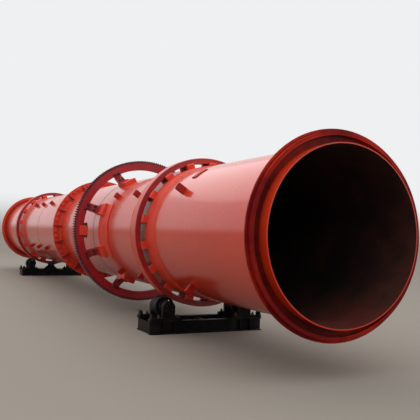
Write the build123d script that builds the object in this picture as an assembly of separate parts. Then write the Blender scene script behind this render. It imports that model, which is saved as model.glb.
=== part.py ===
from build123d import *
import os
from math import cos, pi, radians, sin

# A rotary drum dryer standing on the ground: a long open steel tube in two bolted halves, carried by
# two riding rings on four support rollers, with a split girth gear on sloping spring plates.
# Millimetres. The drum lies along Y with its near end at -Y, +Z is up, and the origin is on the
# ground under the middle of the drum. Angles around the drum are measured from its top towards -X.

# Drum shell
shell_bore = 1800.0
shell_plate = 14.0
drum_length = 17030.0

# Riding rings with their belts, seats and stops, one set at each end
tyre_from_end = 3250.0
tyre_width = 180.0
tyre_thickness = 78.0
tyre_chamfer = 8.0
belt_plate = 16.0
tyre_belt_width = 855.0
seat_height = 58.0
seat_count = 17
seat_width = 100.0
seat_overhang = 6.0
seat_phase = 17.2
stop_gap = 1.0
stop_length = 52.0
stop_width = 114.0
stop_rise = 16.0

# Seal rings near the open ends
seal_from_end = 138.0
seal_plate = 16.0
seal_groove = 78.0
seal_bar_width = 38.0
seal_bar_depth = 45.0
seal_rim = 32.0

# Bolted joint at mid length
mid_flange_plate = 28.0
mid_flange_rise = 160.0
mid_gusset_count = 18
mid_gusset_plate = 20.0
mid_gusset_length = 110.0
mid_gusset_drop = 4.0
mid_gusset_toe = 22.0
mid_gusset_phase = 6.8

# Girth gear, in two halves joined at its sides
gear_from_end = 5780.0  # to the near face
gear_module = 14.0
gear_teeth = 180
tooth_root_depth = 1.25  # in modules
tooth_root_spread = 1.42  # of a tooth's half width at the pitch circle
tooth_tip_spread = 0.52
gear_width = 130.0
gear_rim = 50.0
gear_web_depth = 87.0
gear_web_plate = 95.0
gear_phase = 1.3
gear_ear_drop = 72.0
gear_ear_climb = 75.0
gear_ear_thickness = 85.0
gear_ear_length = 125.0
gear_ear_front = 25.0
gear_bolt_r = 18.0
gear_bolt_stick_out = 45.0
gear_bolt_places = (0.25, 0.75)  # along an ear

# Bent spring plates from feet on the shell to the gear's near face
spring_places = (22.0, 62.5)  # degrees to each side of the gear's joint
spring_plate = 16.0
spring_width = 140.0
spring_hold = 50.0
spring_on_foot = 220.0
foot_from_gear = 65.0
foot_length = 470.0
foot_rise = 45.0
foot_near_width = 210.0
foot_gear_width = 160.0
saddle_from_gear = 300.0
saddle_length = 515.0
saddle_spread = 55.0  # degrees

# Square plates welded outside the shell
pad_rise = 16.0
near_pad_size = 150.0
near_pad_rows = 4
near_pad_phase = 53.5
near_pads_from_tyre = (-900.0, 755.0, 1770.0)
far_pad_size = 105.0
far_pad_rows = 5
far_pad_phase = 48.0
far_pad_shares = (0.38, 0.58, 0.765)  # of the way from the middle to the riding ring

# Support rollers
roller_r = 140.0
roller_width = 168.0
roller_angle = 29.65
roller_gap = 0.3
hub_r = 78.0
hub_length = 320.0
shaft_r = 45.0
shaft_gap = 0.1

# Roller stations
beam_height = 180.0
beam_flange = 90.0
beam_web = 10.0
beam_flange_plate = 14.0
beam_spacing = 450.0
beam_past_roller = 268.2
stiffener_plate = 12.0
stiffener_offset = 80.0
stiffener_inset = 4.0
anchor_hole_r = 13.0
anchor_inset = 90.0
cross_plate = 14.0
cross_offset = 410.0
bearing_rise = 177.6
housing_r = 90.0
housing_width = 66.0
housing_foot_length = 380.0
housing_foot_plate = 38.0
cover_r = 70.0
cover_plate = 12.0
screw_stand_plate = 20.0
screw_stand_width = 80.0
screw_stand_rise = 95.0
screw_stand_from_end = 16.0
screw_gusset_plate = 12.0
screw_gusset_reach = 26.0

# Thrust rollers at the far station
thrust_r = 120.0
thrust_height = 40.0
thrust_gap = 5.0
thrust_lift = 8.0
thrust_hub_r = 62.0
thrust_hub_length = 24.0
thrust_axle_r = 30.0
thrust_axle_depth = 75.0
thrust_neck_r = 50.0
thrust_neck_gap = 1.0
thrust_rib_plate = 16.0
thrust_rib_share = 0.72  # of the neck's height
thrust_sole_plate = 20.0
thrust_sole_width = 300.0
thrust_sole_margin = 60.0
thrust_bracket_plate = 14.0
thrust_bracket_inset = 30.0

cut_past = 1.0  # how far a cut runs beyond what it cuts

# Worked out from the above
shell_inner_r = shell_bore / 2
shell_r = shell_inner_r + shell_plate
half_length = drum_length / 2
belt_r = shell_r + belt_plate
tyre_inner_r = belt_r + seat_height
tyre_r = tyre_inner_r + tyre_thickness
tyre_y = half_length - tyre_from_end
roller_reach = tyre_r + roller_gap + roller_r
roller_x = roller_reach * sin(radians(roller_angle))
roller_z = beam_height + bearing_rise
axis_height = roller_z + roller_reach * cos(radians(roller_angle))
gear_near_face = gear_from_end - half_length
gear_pitch_r = gear_module * gear_teeth / 2
gear_outer_r = gear_pitch_r + gear_module
gear_root_r = gear_pitch_r - tooth_root_depth * gear_module
gear_rim_inner_r = gear_root_r - gear_rim
gear_inner_r = gear_rim_inner_r - gear_web_depth
foot_top = belt_r + foot_rise
base_half = roller_x + beam_past_roller
beam_y = beam_spacing / 2

drum_axis = Axis.Y
parts = {}


def closed_face(points):
    return make_face(Polyline(*points, close=True))


def turned(outline, spread=360.0):
    """A ring, or part of one: an outline of (radius, y) points turned about the drum's axis."""
    return revolve(closed_face([(r, y, 0) for r, y in outline]), drum_axis, spread)


def band(r_in, r_out, y_from, y_to):
    return turned([(r_in, y_from), (r_out, y_from), (r_out, y_to), (r_in, y_to)])


def sector(outline, width, r_width):
    """The part of a turned ring that is as wide as given, measured round the circle at r_width."""
    spread = 360.0 * width / (2 * pi * r_width)
    return turned(outline, spread).rotate(drum_axis, -90.0 - spread / 2)


def around(shape, angle):
    """Turn a piece from the top of the drum to its angle, measured towards -X."""
    return shape.rotate(drum_axis, -angle)


def ring_of(shape, count, phase):
    return [around(shape, phase + 360.0 * k / count) for k in range(count)]


def along_x(outline, x_from, x_to):
    """A bar of constant section: an outline of (y, z) points carried from one x to another."""
    face = closed_face([(x_from, y, z) for y, z in outline])
    return extrude(face, x_to - x_from, dir=(1, 0, 0))


def along_y(outline, y_from, y_to):
    """A bar of constant section: an outline of (x, z) points carried from one y to another."""
    face = closed_face([(x, y_from, z) for x, z in outline])
    return extrude(face, y_to - y_from, dir=(0, 1, 0))


def block(x_from, x_to, y_from, y_to, z_from, z_to):
    size = (x_to - x_from, y_to - y_from, z_to - z_from)
    low = (Align.MIN, Align.MIN, Align.MIN)
    return Pos(x_from, y_from, z_from) * Box(*size, align=low)


def rod_y(r, x, y_from, y_to, z):
    return Pos(x, (y_from + y_to) / 2, z) * Rot(90, 0, 0) * Cylinder(r, y_to - y_from)


def rod_z(r, x, y, z_from, z_to):
    return Pos(x, y, (z_from + z_to) / 2) * Cylinder(r, z_to - z_from)


def keep(name, shapes, lift=0.0):
    """Note a node: one solid or several, lifted to the drum's axis where they belong to the drum."""
    solids = [s for shape in shapes for s in shape.solids()]
    parts[name] = Pos(0, 0, lift) * Compound(children=solids)


def keep_on_drum(name, shapes):
    keep(name, shapes, axis_height)


def make_shell():
    keep_on_drum("near_shell", [band(shell_inner_r, shell_r, -half_length, 0)])
    keep_on_drum("far_shell", [band(shell_inner_r, shell_r, 0, half_length)])


def make_seal_rings():
    """A plate ring with a raised bar ring in front, which leaves a groove round the shell's end."""
    plate_front = -half_length + seal_from_end
    plate_back = plate_front + seal_plate
    bar_front = plate_front - seal_bar_depth
    bar_r = shell_r + seal_groove
    rim_r = bar_r + seal_bar_width
    outline = [
        (shell_r, plate_front),
        (bar_r, plate_front),
        (bar_r, bar_front),
        (rim_r, bar_front),
        (rim_r, plate_front),
        (rim_r + seal_rim, plate_front),
        (rim_r + seal_rim, plate_back),
        (shell_r, plate_back),
    ]
    keep_on_drum("near_seal_ring", [turned(outline)])
    keep_on_drum("far_seal_ring", [turned([(r, -y) for r, y in outline])])


def make_tyre_set(end, y):
    """A riding ring on its belt, with a seat under it and a stop on each side at every seat."""
    half = tyre_width / 2
    edge = tyre_chamfer
    tyre = turned([
        (tyre_inner_r, y - half),
        (tyre_r - edge, y - half),
        (tyre_r, y - half + edge),
        (tyre_r, y + half - edge),
        (tyre_r - edge, y + half),
        (tyre_inner_r, y + half),
    ])
    keep_on_drum(end + "_tyre", [tyre])
    belt_half = tyre_belt_width / 2
    keep_on_drum(end + "_tyre_belt", [band(shell_r, belt_r, y - belt_half, y + belt_half)])

    seat_half = half + seat_overhang
    seat = sector(
        [
            (belt_r, y - seat_half),
            (tyre_inner_r, y - seat_half),
            (tyre_inner_r, y + seat_half),
            (belt_r, y + seat_half),
        ],
        seat_width,
        tyre_inner_r,
    )
    keep_on_drum(end + "_tyre_seats", ring_of(seat, seat_count, seat_phase))

    stop_from = seat_half + stop_gap
    stop_to = stop_from + stop_length
    stop_top = tyre_inner_r + stop_rise
    stops = []
    for side in (-1, 1):
        stop = sector(
            [
                (belt_r, y + side * stop_from),
                (stop_top, y + side * stop_from),
                (stop_top, y + side * (stop_from + stop_length / 2)),
                (tyre_inner_r, y + side * stop_to),
                (belt_r, y + side * stop_to),
            ],
            stop_width,
            tyre_inner_r,
        )
        stops += ring_of(stop, seat_count, seat_phase)
    keep_on_drum(end + "_tyre_stops", stops)


def make_mid_joint():
    """Two flanges bolted face to face at mid length, each stiffened by gussets on its shell."""
    flange_r = shell_r + mid_flange_rise
    half = mid_gusset_plate / 2
    for end, side in (("near", -1), ("far", 1)):
        flange = band(shell_r, flange_r, *sorted((0, side * mid_flange_plate)))
        keep_on_drum(end + "_mid_flange", [flange])
        gusset = along_x(
            [
                (side * mid_flange_plate, shell_r),
                (side * mid_flange_plate, flange_r - mid_gusset_drop),
                (side * (mid_flange_plate + mid_gusset_length), shell_r + mid_gusset_toe),
                (side * (mid_flange_plate + mid_gusset_length), shell_r),
            ],
            -half,
            half,
        )
        gussets = ring_of(gusset, mid_gusset_count, mid_gusset_phase)
        keep_on_drum(end + "_mid_gussets", gussets)


def gear_outline():
    """The toothed edge as (x, z) points: four to a tooth, with a gap at each end of the joint line."""
    pitch_half = pi * gear_module / 4
    tooth = [
        (-tooth_root_spread * pitch_half, gear_root_r),
        (-tooth_tip_spread * pitch_half, gear_outer_r),
        (tooth_tip_spread * pitch_half, gear_outer_r),
        (tooth_root_spread * pitch_half, gear_root_r),
    ]
    points = []
    for k in range(gear_teeth):
        middle = 2 * pi * (k + 0.5) / gear_teeth
        for across, r in tooth:
            turn = middle + across / r
            points.append((r * cos(turn), r * sin(turn)))
    return points


def joint_sides():
    """The angles of the gear's two joints."""
    return (90.0 + gear_phase, 270.0 + gear_phase)


def spring_angles():
    places = [side * place for side in (-1, 1) for place in spring_places]
    return [joint + place for joint in joint_sides() for place in places]


def make_gear():
    """The girth gear: a toothed rim on a thick web, with bolted ears where its halves join."""
    near = gear_near_face
    far = gear_near_face + gear_width
    web_back = near + gear_web_plate
    wheel = along_y(gear_outline(), near, far)
    wheel -= turned([
        (0, near - cut_past),
        (gear_inner_r, near - cut_past),
        (gear_inner_r, web_back),
        (gear_rim_inner_r, web_back),
        (gear_rim_inner_r, far + cut_past),
        (0, far + cut_past),
    ])
    ear_low = gear_inner_r - gear_ear_drop
    ear_high = gear_inner_r + gear_ear_climb
    ear_from = near - gear_ear_front
    ear_to = ear_from + gear_ear_length
    reach = gear_outer_r + cut_past
    halves = []
    for low, high in ((0, 1), (-1, 0)):
        side_box = block(-reach, reach, near - cut_past, far + cut_past, low * reach, high * reach)
        half = wheel & side_box
        for side in (-1, 1):
            x_from, x_to = sorted((side * ear_low, side * ear_high))
            z_from = low * gear_ear_thickness
            z_to = high * gear_ear_thickness
            half += block(x_from, x_to, ear_from, ear_to, z_from, z_to)
        halves.append(half)

    bolts = []
    bolt_x = (ear_low + gear_inner_r) / 2
    bolt_half = gear_ear_thickness + gear_bolt_stick_out
    for side in (-1, 1):
        for share in gear_bolt_places:
            bolt_y = ear_from + share * gear_ear_length
            bolt = rod_z(gear_bolt_r, side * bolt_x, bolt_y, -bolt_half, bolt_half)
            bolts.append(bolt)
    halves = [half - bolts for half in halves]
    keep_on_drum("gear_upper_half", [around(halves[0], gear_phase)])
    keep_on_drum("gear_lower_half", [around(halves[1], gear_phase)])
    keep_on_drum("gear_joint_bolts", [around(bolt, gear_phase) for bolt in bolts])


def make_gear_springs():
    """Feet on the shell, on a saddle plate beside each joint, with bent plates up to the gear."""
    saddle_to = gear_near_face - saddle_from_gear
    saddle_from = saddle_to - saddle_length
    outline = [
        (shell_r, saddle_from),
        (belt_r, saddle_from),
        (belt_r, saddle_to),
        (shell_r, saddle_to),
    ]
    width = saddle_spread / 360.0 * 2 * pi * belt_r
    saddle = sector(outline, width, belt_r)
    saddles = [around(saddle, angle) for angle in joint_sides()]
    keep_on_drum("gear_belt", saddles)

    foot_to = gear_near_face - foot_from_gear
    foot_from = foot_to - foot_length
    foot = extrude(
        closed_face([
            (-foot_near_width / 2, foot_from, 0),
            (foot_near_width / 2, foot_from, 0),
            (foot_gear_width / 2, foot_to, 0),
            (-foot_gear_width / 2, foot_to, 0),
        ]),
        foot_top,
        dir=(0, 0, 1),
    )
    foot &= band(shell_r, gear_root_r, foot_from - cut_past, foot_to + cut_past)
    feet = [around(foot, angle) for angle in spring_angles()]
    keep_on_drum("gear_feet", [foot - saddles for foot in feet])

    front = gear_near_face - spring_plate
    climb_from = gear_inner_r - spring_hold + spring_plate
    spring_top = gear_inner_r + spring_hold
    spring = along_x(
        [
            (foot_to - spring_on_foot, foot_top),
            (foot_to, foot_top),
            (gear_near_face, climb_from - spring_plate),
            (gear_near_face, spring_top),
            (front, spring_top),
            (front, climb_from),
            (foot_to - spring_plate, foot_top + spring_plate),
            (foot_to - spring_on_foot, foot_top + spring_plate),
        ],
        -spring_width / 2,
        spring_width / 2,
    )
    keep_on_drum("gear_springs", [around(spring, angle) for angle in spring_angles()])


def make_shell_pads():
    def pad(y, size):
        low, high = y - size / 2, y + size / 2
        top = shell_r + pad_rise
        return sector([(shell_r, low), (top, low), (top, high), (shell_r, high)], size, shell_r)

    near = []
    for offset in near_pads_from_tyre:
        near += ring_of(pad(offset - tyre_y, near_pad_size), near_pad_rows, near_pad_phase)
    keep_on_drum("near_shell_pads", near)
    far = []
    for share in far_pad_shares:
        far += ring_of(pad(share * tyre_y, far_pad_size), far_pad_rows, far_pad_phase)
    keep_on_drum("far_shell_pads", far)


def make_roller(name, x, y):
    """A roller with its hub and shaft, turned about its own axis."""
    half = roller_width / 2
    hub_half = hub_length / 2
    shaft_half = beam_y + housing_width / 2
    side = [
        (shaft_r, shaft_half),
        (shaft_r, hub_half),
        (hub_r, hub_half),
        (hub_r, half),
        (roller_r, half),
    ]
    outline = [(0, -shaft_half)] + [(r, -w) for r, w in side]
    outline += list(reversed(side)) + [(0, shaft_half)]
    keep(name, [Pos(x, y, roller_z) * turned(outline)])


def bearing_housing(x, y, side):
    """A pillow block: an arched body on a bolted foot, closed by a cover on the outside."""
    y_from = y - housing_width / 2
    y_to = y + housing_width / 2
    foot_top_z = beam_height + housing_foot_plate
    foot_half = housing_foot_length / 2
    body = rod_y(housing_r, x, y_from, y_to, roller_z)
    body += block(x - housing_r, x + housing_r, y_from, y_to, beam_height, roller_z)
    body += block(x - foot_half, x + foot_half, y_from, y_to, beam_height, foot_top_z)
    outer = y + side * housing_width / 2
    cover = sorted((outer, outer + side * cover_plate))
    body += rod_y(cover_r, x, *cover, roller_z)
    inner = y - side * (housing_width / 2 + cut_past)
    bore = sorted((inner, outer + side * shaft_gap))
    return body - rod_y(shaft_r + shaft_gap, x, *bore, roller_z)


def make_beam(name, y_station, side):
    """A rolled beam lying across the drum, stiffened under the bearings, with anchor holes."""
    y = y_station + side * beam_y
    flange = beam_flange / 2
    web = beam_web / 2
    upper = beam_height - beam_flange_plate
    lower = beam_flange_plate
    section = [
        (y - flange, 0),
        (y + flange, 0),
        (y + flange, lower),
        (y + web, lower),
        (y + web, upper),
        (y + flange, upper),
        (y + flange, beam_height),
        (y - flange, beam_height),
        (y - flange, upper),
        (y - web, upper),
        (y - web, lower),
        (y - flange, lower),
    ]
    beam = along_x(section, -base_half, base_half)
    half = stiffener_plate / 2
    places = []
    for x in (-roller_x, roller_x):
        places += [x - stiffener_offset, x + stiffener_offset]
    reach = flange - stiffener_inset
    for x in places:
        beam += block(x - half, x + half, y - reach, y + reach, lower, upper)
    hole_y = y + side * flange / 2
    for x in (-1, 1):
        hole_x = x * (base_half - anchor_inset)
        beam -= rod_z(anchor_hole_r, hole_x, hole_y, -cut_past, lower + cut_past)
    keep(name, [beam])


def make_station(end, y_station):
    """Two beams tied by cross plates, with pillow blocks and the screws that set them."""
    make_beam(end + "_front_beam", y_station, -1)
    make_beam(end + "_rear_beam", y_station, 1)

    tie_half = beam_y - beam_web / 2
    tie_low = beam_flange_plate
    tie_high = beam_height - beam_flange_plate
    half = cross_plate / 2
    ties = []
    tie_from = y_station - tie_half
    tie_to = y_station + tie_half
    for x in (-base_half + half, -cross_offset, 0, cross_offset, base_half - half):
        ties.append(block(x - half, x + half, tie_from, tie_to, tie_low, tie_high))
    keep(end + "_cross_plates", ties)

    housings = []
    screws = []
    for x_side in (-1, 1):
        x = x_side * roller_x
        for y_side in (-1, 1):
            y = y_station + y_side * beam_y
            housings.append(bearing_housing(x, y, y_side))
            screws.append(screw_stand(x_side, y))
        make_roller(f"{end}_{'left' if x_side < 0 else 'right'}_roller", x, y_station)
    keep(end + "_bearings", housings)
    keep(end + "_screw_stands", screws)


def screw_stand(x_side, y):
    """A gusseted upright on the beam's end, for the screw that sets the bearing sideways."""
    outer = base_half - screw_stand_from_end
    inner = outer - screw_stand_plate
    half = screw_stand_width / 2
    top = beam_height + screw_stand_rise
    stand = block(inner, outer, y - half, y + half, beam_height, top)
    plate = screw_gusset_plate
    outline = [
        (inner - screw_gusset_reach, beam_height),
        (inner, beam_height),
        (inner, top - plate),
        (inner - plate, top - plate),
    ]
    stand += along_y(outline, y - half, y - half + plate)
    stand += along_y(outline, y + half - plate, y + half)
    if x_side < 0:
        stand = mirror(stand, about=Plane.YZ)
    return stand


def make_thrust_rollers():
    """Two upright rollers, one on each side of the far riding ring, on brackets outside the beams."""
    reach = tyre_width / 2 + thrust_gap + thrust_r
    disc_low = axis_height - tyre_r + thrust_lift
    disc_high = disc_low + thrust_height
    hub_low = disc_low - thrust_hub_length
    axle_low = hub_low - thrust_axle_depth
    neck_top = hub_low - thrust_neck_gap
    sole_top = beam_height + thrust_sole_plate
    rib_top = sole_top + thrust_rib_share * (neck_top - sole_top)
    sole_half = thrust_sole_width / 2
    rib_half = thrust_rib_plate / 2
    flange_edge = beam_y + beam_flange / 2
    web_face = beam_y + beam_web / 2
    sole_end = reach + thrust_sole_margin
    bracket = [
        (web_face, beam_flange_plate),
        (flange_edge, beam_flange_plate),
        (sole_end, beam_height),
        (flange_edge, beam_height),
        (flange_edge, beam_height - beam_flange_plate),
        (web_face, beam_height - beam_flange_plate),
    ]
    bracket_half = thrust_bracket_plate / 2
    bracket_x = sole_half - thrust_bracket_inset
    stands = []
    for name, side in (("near_thrust_roller", -1), ("far_thrust_roller", 1)):
        y = tyre_y + side * reach
        roller = rod_z(thrust_r, 0, y, disc_low, disc_high)
        roller += rod_z(thrust_hub_r, 0, y, hub_low, disc_low)
        roller += rod_z(thrust_axle_r, 0, y, axle_low, hub_low)
        keep(name, [roller])
        y_sole = sorted((tyre_y + side * (beam_y - beam_flange / 2), tyre_y + side * sole_end))
        stand = block(-sole_half, sole_half, *y_sole, beam_height, sole_top)
        stand += rod_z(thrust_neck_r, 0, y, sole_top, neck_top)
        rib = [
            (-sole_half, sole_top),
            (sole_half, sole_top),
            (thrust_neck_r, rib_top),
            (-thrust_neck_r, rib_top),
        ]
        stand += along_y(rib, y - rib_half, y + rib_half)
        outline = [(tyre_y + side * out, z) for out, z in bracket]
        for x in (-bracket_x, bracket_x):
            stand += along_x(outline, x - bracket_half, x + bracket_half)
        hole_r = thrust_axle_r + shaft_gap
        stand -= rod_z(hole_r, 0, y, axle_low - shaft_gap, neck_top + cut_past)
        stands.append(stand)
    keep("thrust_stands", stands)


make_shell()
make_seal_rings()
make_tyre_set("near", -tyre_y)
make_tyre_set("far", tyre_y)
make_mid_joint()
make_gear()
make_gear_springs()
make_shell_pads()
make_station("near", -tyre_y)
make_station("far", tyre_y)
make_thrust_rollers()

os.makedirs("parts", exist_ok=True)
for name, shape in parts.items():
    export_step(shape, f"parts/{name}.step")
print(len(parts), "nodes, axis height", round(axis_height, 2), "tyre", tyre_r, "base half", base_half)
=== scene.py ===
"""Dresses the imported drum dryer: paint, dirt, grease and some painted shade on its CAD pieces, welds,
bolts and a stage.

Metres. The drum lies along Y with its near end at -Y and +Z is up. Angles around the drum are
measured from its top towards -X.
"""
from math import cos, pi, radians, sin, sqrt

import bmesh
import bpy
from mathutils import Matrix, Vector


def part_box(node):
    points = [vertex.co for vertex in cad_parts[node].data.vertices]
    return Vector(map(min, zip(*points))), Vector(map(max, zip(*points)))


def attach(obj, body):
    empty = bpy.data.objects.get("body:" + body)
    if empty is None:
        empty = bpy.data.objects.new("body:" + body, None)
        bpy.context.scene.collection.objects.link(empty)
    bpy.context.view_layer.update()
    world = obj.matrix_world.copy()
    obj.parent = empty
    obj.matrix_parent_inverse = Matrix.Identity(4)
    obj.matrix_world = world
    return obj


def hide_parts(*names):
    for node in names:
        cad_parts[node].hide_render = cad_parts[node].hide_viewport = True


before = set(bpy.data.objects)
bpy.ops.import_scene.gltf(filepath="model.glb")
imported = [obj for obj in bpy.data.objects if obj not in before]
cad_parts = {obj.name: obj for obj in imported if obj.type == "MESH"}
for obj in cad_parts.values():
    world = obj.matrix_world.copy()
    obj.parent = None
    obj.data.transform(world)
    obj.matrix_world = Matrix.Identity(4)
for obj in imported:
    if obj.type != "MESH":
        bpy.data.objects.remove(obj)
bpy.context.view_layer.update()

bl_info = {
    "name": "Drum Dryer",
    "version": (1, 0, 0),
    "blender": (4, 5, 0),
    "location": "3D View > Sidebar > Drum Dryer",
    "description": "Paints a rotary drum dryer and adds its welds, bolts and stage",
    "category": "Object",
}

tyre_low, tyre_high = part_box("near_tyre")
axis_height = (tyre_low[2] + tyre_high[2]) / 2
tyre_r = (tyre_high[0] - tyre_low[0]) / 2
tyre_width = tyre_high[1] - tyre_low[1]
tyre_y = -(tyre_low[1] + tyre_high[1]) / 2
shell_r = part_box("near_shell")[1][0]
half_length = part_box("far_shell")[1][1]
belt_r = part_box("near_tyre_belt")[1][0]
flange_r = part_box("near_mid_flange")[1][0]
flange_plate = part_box("far_mid_flange")[1][1]
beam_low, beam_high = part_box("near_front_beam")
beam_top = beam_high[2]
station_half = beam_high[0]
beam_offset = -tyre_y - (beam_low[1] + beam_high[1]) / 2
roller_low, roller_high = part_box("near_right_roller")
roller_x = (roller_low[0] + roller_high[0]) / 2
roller_z = (roller_low[2] + roller_high[2]) / 2
housing_low, housing_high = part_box("near_bearings")
gear_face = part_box("gear_springs")[1][1]
foot_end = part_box("gear_feet")[1][1]
joint_bolts_low, joint_bolts_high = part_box("gear_joint_bolts")
screw_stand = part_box("near_screw_stands")[1][0]
seal_back = -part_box("near_seal_ring")[1][1]

shell_plate = 0.014
seal_groove = 0.078
# The next three numbers set the orange tint on the inside steel: how far in from each mouth it reaches,
# and the heights below the axis where it starts and where it is full.
mouth_tint_length = 1.3
mouth_tint_top = -0.60
mouth_tint_full = -0.88
gear_phase = radians(1.3)
gear_root_r = 1.2425
gear_bore_r = 1.105
gear_ear_half = 0.085
gear_ear_top = gear_bore_r + 0.075
gear_bolt_r = 0.018
gear_bolt_inset = 0.036
spring_places = (radians(22.0), radians(62.5))
spring_plate = 0.016
foot_top = belt_r + 0.045
seam_places = (-4.70, -2.66, -0.76, 0.76, 2.66, 4.70)
sunk = 0.002
lug_sunk = 0.004
lug_hollow = 0.8
patch_angle = radians(35.7)
patch_y = -6.235
near_lugs = ((-6.292, 56.8, 0.115), (-4.543, 54.9, 0.080), (-3.559, 54.3, 0.080))
near_lug_turns = (0.0, 81.5, 180.0, 261.5)
far_lugs = ((1.94, 49.5, 0.080), (2.99, 49.5, 0.080), (3.97, 49.5, 0.080))
far_lug_turns = (0.0, 72.0, 144.0, 216.0, 288.0)
mid_gusset_phase = radians(6.8)
mid_gusset_count = 18
housing_foot_plate = 0.038
housing_foot_half = 0.190
housing_half = 0.090
housing_sunk = 0.001
cover_r = 0.070
screw_circle_r = 0.8 * cover_r
thread_reach = 0.018
softbox_sides = (14.0, 30.0)
softbox_place = (-1.5, 0.0, 10.0)
camera_right = (0.89704, -0.44091, 0.03033)
camera_forward = (0.43964, 0.89725, 0.04062)
picture_pixels = 420


def colour_property(name, description, red, green, blue):
    return bpy.props.FloatVectorProperty(
        name=name, description=description, default=(red, green, blue, 1.0), subtype="COLOR", size=4,
        min=0.0, max=1.0)


def length_property(name, description, default):
    return bpy.props.FloatProperty(
        name=name, description=description, default=default, unit="LENGTH", min=0.0)


class DryerPaint(bpy.types.PropertyGroup):
    shell: colour_property("Shell", "Glossy paint outside the drum", 0.58, 0.031, 0.007)
    shell_faded: colour_property(
        "Shell, thin coats", "The same paint where it is thin", 0.62, 0.044, 0.011)
    belt: colour_property("Belts", "Matt primer on belts, stops, feet and flanges", 0.67, 0.052, 0.030)
    ring: colour_property("Rings", "Crimson paint on the riding rings", 0.25, 0.008, 0.014)
    seam: colour_property("Seams", "Dirt and paint on the shell's welds", 0.16, 0.022, 0.012)
    seal: colour_property("Seal rings", "Dark crimson paint on the seal rings", 0.165, 0.0035, 0.005)
    # The groove colour is painted shade: it darkens the seal rings' grooves in place of the shade that
    # lies in them.
    groove: colour_property(
        "Seal ring groove", "Grime in the seal rings' grooves", 0.012, 0.0015, 0.0015)
    gear: colour_property("Gear", "Crimson paint on the girth gear", 0.37, 0.012, 0.020)
    lug: colour_property("Lugs", "Crimson paint on the square lugs", 0.42, 0.014, 0.012)
    # The gusset colour is painted shade: a dark red that stands for the shade on the mid joint's
    # gussets. The greased seats use the same dark red as their own colour.
    gusset: colour_property("Gussets", "Dark red paint on the mid joint's gussets", 0.22, 0.008, 0.005)
    track: colour_property("Tracks", "Worn belts under the riding rings", 0.44, 0.11, 0.075)
    grease: colour_property("Grease", "Grease and oil on teeth, seats and rollers", 0.014, 0.009, 0.008)
    inside: colour_property("Inside", "Bare scaled steel inside the drum", 0.010, 0.0075, 0.007)
    rust: colour_property("Rust", "Rust on bare steel", 0.050, 0.015, 0.008)
    station: colour_property("Stations", "Black paint on the roller stations", 0.0025, 0.0025, 0.003)
    steel: colour_property("Steel", "Bright worn steel", 0.42, 0.40, 0.38)
    bolt: colour_property("Bolts", "Dull steel of bolts and nuts", 0.09, 0.06, 0.055)
    plated: colour_property("Plated steel", "Plated steel of the grease nipples", 0.75, 0.74, 0.70)
    dust: colour_property("Dust", "Ground dust", 0.24, 0.20, 0.17)


class DryerFittings(bpy.types.PropertyGroup):
    bead_width: length_property("Weld width", "Width of a plate weld", 0.020)
    bead_height: length_property("Weld height", "How far a plate weld stands up", 0.003)
    lug_size: length_property("Lug", "Width of the square lugs across the shell", 0.086)
    lug_depth: length_property("Lug depth", "Width of the square lugs along the shell", 0.060)
    lug_wall: length_property("Lug wall", "Wall of the hollow lugs", 0.008)
    patch_length: length_property("Patch length", "Length of the patch plate round the shell", 0.20)
    patch_width: length_property("Patch width", "Width of the patch plate along the shell", 0.11)
    patch_plate: length_property("Patch plate", "Thickness of the patch plate", 0.012)
    mid_bolt: length_property("Joint bolt", "Width across the flats of the mid joint's bolts", 0.046)
    spring_bolt: length_property(
        "Spring bolt", "Width across the flats of the spring plates' bolts", 0.041)
    gear_nut: length_property("Gear nut", "Width across the flats of the gear joint's nuts", 0.055)
    foot_nut: length_property("Foot nut", "Width across the flats of the bearings' nuts", 0.036)
    set_screw: length_property("Setting screw", "Thread size of the screws that set the bearings", 0.026)
    screw_reach: length_property(
        "Screw reach", "How far the setting screws stand out of the station", 0.018)
    nipple: length_property("Grease nipple", "Width of the bearings' grease nipples", 0.018)
    clamp_length: length_property(
        "Clamp length", "Length of the bars that hold the spring plates", 0.125)
    clamp_width: length_property("Clamp width", "Width of the bars that hold the spring plates", 0.050)
    clamp_plate: length_property(
        "Clamp plate", "Thickness of the bars that hold the spring plates", 0.014)
    cover_screw: length_property(
        "Cover screw", "Width across the flats of the bearing covers' screws", 0.013)


class DryerStage(bpy.types.PropertyGroup):
    lens: bpy.props.FloatProperty(
        name="Lens", description="Focal length in millimetres", default=51.85, min=1.0)
    camera: bpy.props.FloatVectorProperty(
        name="Camera", description="Where the camera stands", default=(-3.7865, -13.202, 1.387),
        subtype="XYZ")
    floor_size: length_property("Floor", "Half the floor's side", 150.0)
    floor: colour_property("Floor colour", "Colour of the floor", 0.285, 0.262, 0.230)
    floor_grain: colour_property("Floor grain", "Darker grain of the floor", 0.235, 0.215, 0.190)
    floor_bounce: colour_property(
        "Floor bounce", "Floor colour that lights the object", 0.20, 0.155, 0.115)
    backdrop: colour_property("Backdrop", "Colour behind the object", 0.86, 0.87, 0.88)
    horizon: colour_property(
        "Horizon", "Colour of the backdrop where it meets the floor", 0.275, 0.252, 0.221)
    sky_colour: colour_property("Sky colour", "Colour of the light from all round", 1.0, 0.98, 0.96)
    sky: bpy.props.FloatProperty(
        name="Sky", description="Strength of the light from all round", default=0.95, min=0.0)
    key: bpy.props.FloatProperty(
        name="Key light", description="Power of the soft light overhead in watts", default=850.0,
        min=0.0)


def fill(tree, sockets, inputs):
    """Plain values are set on the sockets themselves, and sockets of other nodes are linked in."""
    for name, value in inputs.items():
        if isinstance(value, bpy.types.NodeSocket):
            tree.links.new(value, sockets[name])
        else:
            sockets[name].default_value = value


def node(tree, kind, inputs=None, **settings):
    """A new node with its settings and inputs."""
    new = tree.nodes.new(kind)
    for name, value in settings.items():
        setattr(new, name, value)
    fill(tree, new.inputs, inputs or {})
    return new


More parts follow.
